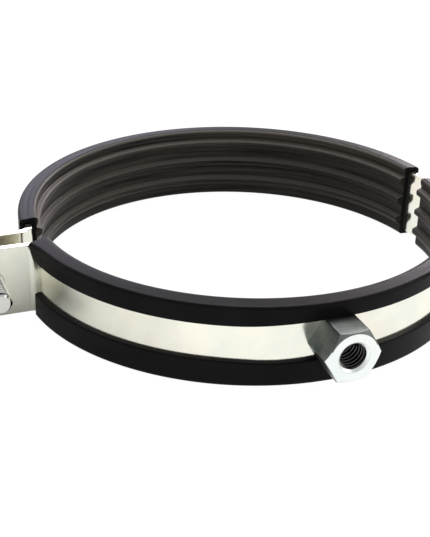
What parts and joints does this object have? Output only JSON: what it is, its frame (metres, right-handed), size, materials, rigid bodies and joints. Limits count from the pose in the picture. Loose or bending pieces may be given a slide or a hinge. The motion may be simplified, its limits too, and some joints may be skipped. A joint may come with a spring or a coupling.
{
  "type": "rubber lined pipe clamp",
  "caption": "Two-part steel pipe clamp with ribbed rubber liners, screw-closed ears and a welded hexagon nut for a threaded rod.",
  "frame": {"origin": "on the pipe's axis, at half the clamp's width", "axes": "+Z along the pipe's axis; -Y towards the connection nut; +X towards the right-hand closing ear"},
  "size_m": [0.208, 0.1703, 0.028],
  "materials": {
    "strip_steel": "bright zinc-plated strip",
    "liner_rubber": "smooth extruded black rubber with a faint sheen",
    "nut_steel": "bright zinc-plated",
    "screw_steel": "bright zinc-plated",
    "washer_steel": "bright zinc-plated"
  },
  "bodies": {
    "nut_half": {"front_band": "strip_steel", "front_liner": "liner_rubber", "connection_nut": "nut_steel"},
    "closing_half": {"rear_band": "strip_steel", "rear_liner": "liner_rubber"},
    "left_screw": {"left_closing_screw": "screw_steel", "left_washer": "washer_steel"},
    "right_screw": {"right_closing_screw": "screw_steel", "right_washer": "washer_steel"}
  },
  "joints": [
    {"name": "half_slide", "type": "slide", "parent": "nut_half", "child": "closing_half", "axis": [0, 1, 0], "range_m": [-0.0052, 0.015]},
    {"name": "left_screw_turn", "type": "hinge", "parent": "closing_half", "child": "left_screw", "pos_m": [-0.0935, 0, 0], "axis": [0, 1, 0], "continuous": true},
    {"name": "right_screw_turn", "type": "hinge", "parent": "closing_half", "child": "right_screw", "pos_m": [0.0935, 0, 0], "axis": [0, 1, 0], "continuous": true}
  ],
  "couplings": [
    {"joint": "left_screw_turn", "follows": "half_slide", "rad_per_m": 5026.5},
    {"joint": "right_screw_turn", "follows": "half_slide", "rad_per_m": 5026.5}
  ]
}
